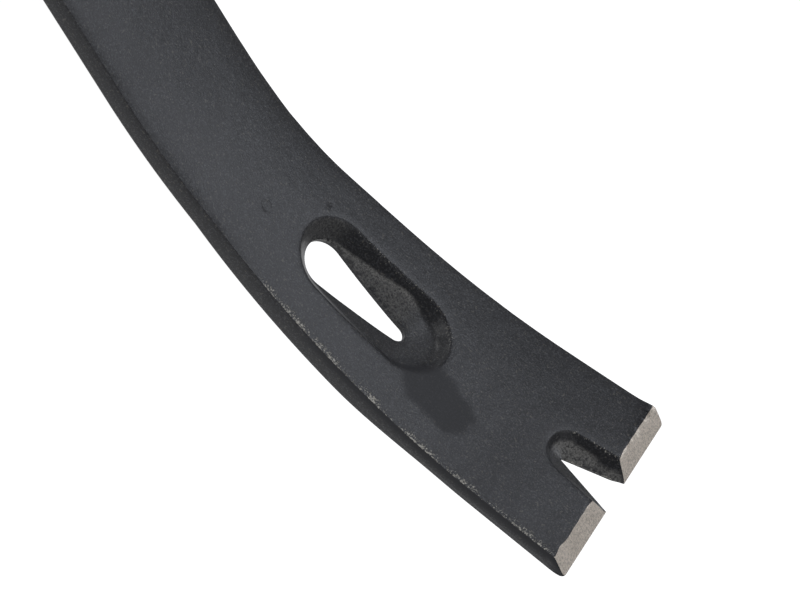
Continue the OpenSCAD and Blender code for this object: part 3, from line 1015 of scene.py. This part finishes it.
def pike_piece():
    """Pike: a tapering horn that leans to the claw's side, with a rounded square root."""
    b = Builder()
    reaches = list(np.linspace(3, 16, 5)) + list(np.linspace(18, 30, 10))
    reaches += list(np.linspace(34, PIKE_TIP_Y, 38)) + [146.5, 148.2, 149.2, 149.8, REACH]
    sections = []
    for y in reaches:
        f = y / REACH
        radius = PIKE_ROOT_R - (PIKE_ROOT_R - PIKE_TIP_R) * f + 3.2 * float(np.clip((31 - y) / 13, 0, 1)) ** 2
        if y > PIKE_TIP_Y:
            radius *= math.sqrt(max(0.02, 1 - ((y - PIKE_TIP_Y) / 6.05) ** 2))
        square = 0.62 * (1 - f)
        ring = []
        for a in np.linspace(0, 2 * math.pi, 48, endpoint=False):
            x, z = math.cos(a), math.sin(a)
            r = radius * (1 - square + square * min(1.06, 0.93 / max(abs(x), abs(z))))
            ring.append((BLOCK_X + PIKE_LEAN * f ** 2 + r * x, y, r * z))
        sections.append(forged(np.array(ring), 0.11, 13.0, 8) if y < 140 else np.array(ring))
    loft(b, sections)
    for k, face in enumerate(b.faces):
        b.slots[k] = int(min(b.verts[i][1] for i in face) > PIKE_GROUND_Y)
    return b.mesh("pike", [PAINT, GROUND])


def socket_piece():
    b = Builder()
    profile = rounded(socket_profile(BLOCK_END_X, HEAD_MOUTH_X), 1.2)
    profile = [(BLOCK_END_X - 8, SOCKET_R - 3.0), (BLOCK_END_X - 3, SOCKET_R)] + profile[1:]
    revolve(b, profile, capped=True)
    return b.mesh("head_socket", [PAINT])


def head():
    piece = block_piece()
    for part in (socket_piece(), adze_piece(), pike_piece()):
        boolean(piece, "UNION", part)
    boolean(piece, "DIFFERENCE", *pin_holes(HEAD_MOUTH_X, -1))
    piece.name = piece.data.name = "head"
    shade(piece.data, 40)
    place(piece, "satin_black_paint", "head_forging")


# ---------------- shaft, pins, grips and rings
def shaft():
    low, high = box_mm("shaft")
    r = (high[2] - low[2]) / 2
    profile = [(low[0], r - 1.5), (low[0] + 1.5, r), (high[0] - 1.5, r), (high[0], r - 1.5)]
    profile = rounded(profile, 0.5)
    fine = []
    for a, c in zip(profile, profile[1:]):
        n = max(1, int((c[0] - a[0]) / 4))
        fine += list(np.linspace(a, c, n, endpoint=False))
    b = Builder()
    revolve(b, fine + [profile[-1]], capped=True)
    piece = b.mesh("shaft_bar", [PAINT])
    boolean(piece, "DIFFERENCE", *pin_holes(CLAW_MOUTH_X, 1), *pin_holes(HEAD_MOUTH_X, -1))
    shade(piece.data, 30)
    place(piece, "satin_black_paint", "shaft")


def roll_pin(node):
    """Spring pin rolled from strip, with an open seam and tapered, deburred ends."""
    low, high = box_mm(node)
    middle, half = (low + high) / 2, (high - low) / 2
    along_y = half[1] > half[2]
    n_out, n_in = 56, 40
    b = Builder()

    def section(along, r_out, r_in):
        """C-shaped section: round the outside from the seam, and back round the bore."""
        start_out, start_in = math.asin(PIN_SEAM / r_out) + 0.05, math.asin(PIN_SEAM / r_in) + 0.03
        points = [(r_out * math.cos(t), r_out * math.sin(t))
                  for t in np.linspace(start_out, 2 * math.pi - start_out, n_out)]
        points += [(r_in * math.cos(t), r_in * math.sin(t))
                   for t in np.linspace(2 * math.pi - start_in, start_in, n_in)]
        return [middle + ((v, along, -u) if along_y else (u, v, along)) for u, v in points]

    profile = [(0.0, 3.35, 2.75), (0.12, 3.5, 2.6), (0.5, 3.72, 2.45), (1.2, 3.93, 2.4), (2.0, PIN_R, 2.4)]
    length = max(half)
    ends = [(a - length, r, bore) for a, r, bore in profile]
    ends += [(length - a, r, bore) for a, r, bore in profile[::-1]]
    rings = [b.add(section(*end)) for end in ends]
    b.strips(rings, closed=True)
    for r in (rings[0], rings[-1]):
        for i in range(n_out - 1):
            j, k = (n_out + n_in - 1 - round(m * (n_in - 1) / (n_out - 1)) for m in (i, i + 1))
            b.face(r[i], r[i + 1], *([r[j]] if j == k else [r[k], r[j]]))
    place(b.mesh("pin_" + node, [PIN_STEEL], sharp=40), "spring_steel", node)


def grip(node):
    """Moulded rubber sleeve with rounded ribs and a faint mould line along each side."""
    low, high = box_mm(node)
    length = high[0] - low[0]
    r, depth, pitch, gap = 17.0, 1.6, 8.0, 3.0
    ribs = int((length - 16.0 + gap) / pitch)
    first = (length - ribs * pitch + gap) / 2
    profile = [(0.0, SHAFT_R), (0.0, r - 1.0), (1.0, r - 0.1)]
    for i in range(ribs + 1):
        a = first - gap + i * pitch
        profile += [(a, r - 0.1), (a + 0.25 * gap, r - depth)]
        profile += [(a + 0.75 * gap, r - depth), (a + gap, r - 0.1)]
    profile += [(length - 1.0, r - 0.1), (length, r - 1.0), (length, SHAFT_R)]
    b = Builder()
    revolve(b, [(low[0] + a, q) for a, q in rounded(profile, 0.9)], looped=True, ridge=0.10)
    place(b.mesh("rubber_" + node, [RUBBER], sharp=50), "grip_rubber", node)


def ring(node):
    """Turned retaining ring with chamfered edges."""
    low, high = box_mm(node)
    length, r, chamfer = high[0] - low[0], (high[2] - low[2]) / 2, 1.0
    profile = [(0.0, SHAFT_R + 0.3), (0.0, r - chamfer), (chamfer, r), (length - chamfer, r),
               (length, r - chamfer), (length, SHAFT_R + 0.3), (length - 0.3, SHAFT_R), (0.3, SHAFT_R),
               (0.0, SHAFT_R + 0.3)]
    b = Builder()
    revolve(b, [(low[0] + a, q) for a, q in rounded(profile, 0.28, 3)[:-1]], looped=True)
    place(b.mesh("collar_" + node, [OXIDE], sharp=30), "black_oxide", node)


claw()
head()
shaft()
for pin in ("claw_pin_front", "claw_pin_rear", "head_pin_front", "head_pin_rear"):
    roll_pin(pin)
for sleeve in ("grip_front", "grip_rear"):
    grip(sleeve)
for collar in ("ring_front_outer", "ring_front_inner", "ring_rear_inner", "ring_rear_outer"):
    ring(collar)


# ---------------- stage, light and camera
def stage_white(name, seen, glow_share, lit):
    """Pale stage surface: bright to look at, with a plain diffuse share that takes soft shadows."""
    g = Graph(bpy.data.materials.new(name))
    g.tree.nodes.remove(g.tree.nodes["Principled BSDF"])
    away = g.node("ShaderNodeVectorMath", {0: g.place}, operation="LENGTH").outputs["Value"]
    strength = g.seen_or_lit(seen, g.step(away, 0.45, 0.9, glow_share, 0.0))
    glow = g.node("ShaderNodeEmission", {"Strength": strength}).outputs[0]
    diffuse = g.node("ShaderNodeBsdfDiffuse", {"Color": (lit, lit, lit, 1)}).outputs[0]
    both = g.node("ShaderNodeAddShader", {0: diffuse, 1: glow}).outputs[0]
    g.fill(g.tree.nodes["Material Output"], {"Surface": both})
    return g.owner


def make_stage():
    z, size = cad_box[0][2], 40.0
    data = bpy.data.meshes.new("floor")
    data.from_pydata([(-size, -size, z), (size, -size, z), (size, size, z), (-size, size, z)], [],
                     [(0, 1, 2, 3)])
    data.materials.append(stage_white("floor_white", 0.97, 0.42, 0.5))
    floor = add_object("floor", data)


def soft_light(name, target, direction, distance, size, power, colour=(1, 1, 1)):
    data = bpy.data.lights.new(name, "AREA")
    data.shape = "RECTANGLE"
    data.size, data.size_y = size
    data.energy = power
    data.color = colour
    lamp = add_object(name, data)
    lamp.location = Vector(target) + Vector(direction).normalized() * distance
    lamp.rotation_euler = Vector(direction).to_track_quat("Z", "Y").to_euler()
    lamp.visible_camera = False


def make_world(dim, bright, seen):
    """White to look at. As a light it is dim on the -Y side and brighter on the +Y side."""
    world = bpy.data.worlds.new("studio")
    bpy.context.scene.world = world
    g = Graph(world, "Generated")
    side = g.step(g.parts(g.place)[1], -0.3, 0.7, dim, bright)
    g.fill(g.tree.nodes["Background"], {"Color": (1, 1, 1, 1), "Strength": g.seen_or_lit(seen, side)})


def make_camera():
    """Camera at the viewing angle of the picture: long lens, from behind and to one side of the claw."""
    aim = Vector((CLAW_HIGH[0] - 61.72, -2.64, 24.13)) * MM
    azimuth, elevation, roll = (math.radians(a) for a in (-121.66, 39.62, 79.87))
    back = Vector((math.cos(azimuth) * math.cos(elevation), math.sin(azimuth) * math.cos(elevation),
                   math.sin(elevation)))
    level = Vector((0, 0, 1)).cross(back).normalized()
    up = back.cross(level)
    right = level * math.cos(roll) + up * math.sin(roll)
    up = up * math.cos(roll) - level * math.sin(roll)
    data = bpy.data.cameras.new("camera")
    data.lens = 208.35
    data.clip_start, data.clip_end = 0.01, 200.0
    camera = add_object("camera", data)
    camera.matrix_world = Matrix([*zip(right, up, back, aim + back), (0, 0, 0, 1)])
    bpy.context.scene.camera = camera


make_stage()
make_world(0.16, 0.22, 1.0)
CLAW_CENTRE = Vector((CLAW_HIGH[0] - 70.0, 0.0, 20.0)) * MM
HEAD_CENTRE = Vector((BLOCK_X + 30.0, 0.0, 30.0)) * MM
soft_light("key_far", CLAW_CENTRE, (-0.01, 0.59, 0.81), 1.4, (1.4, 0.42), 4.0, (0.88, 0.92, 1.0))
soft_light("head_left", HEAD_CENTRE, (-0.60, -0.60, 0.5), 0.42, (0.35, 0.3), 0.7)
soft_light("head_right", HEAD_CENTRE, (-0.50, 0.65, 0.55), 0.42, (0.35, 0.3), 0.7)
soft_light("overhead", CLAW_CENTRE, (0.3, -0.1, 1.0), 1.4, (0.8, 0.8), 1.2)
make_camera()
bpy.context.scene.view_settings.view_transform = "Standard"
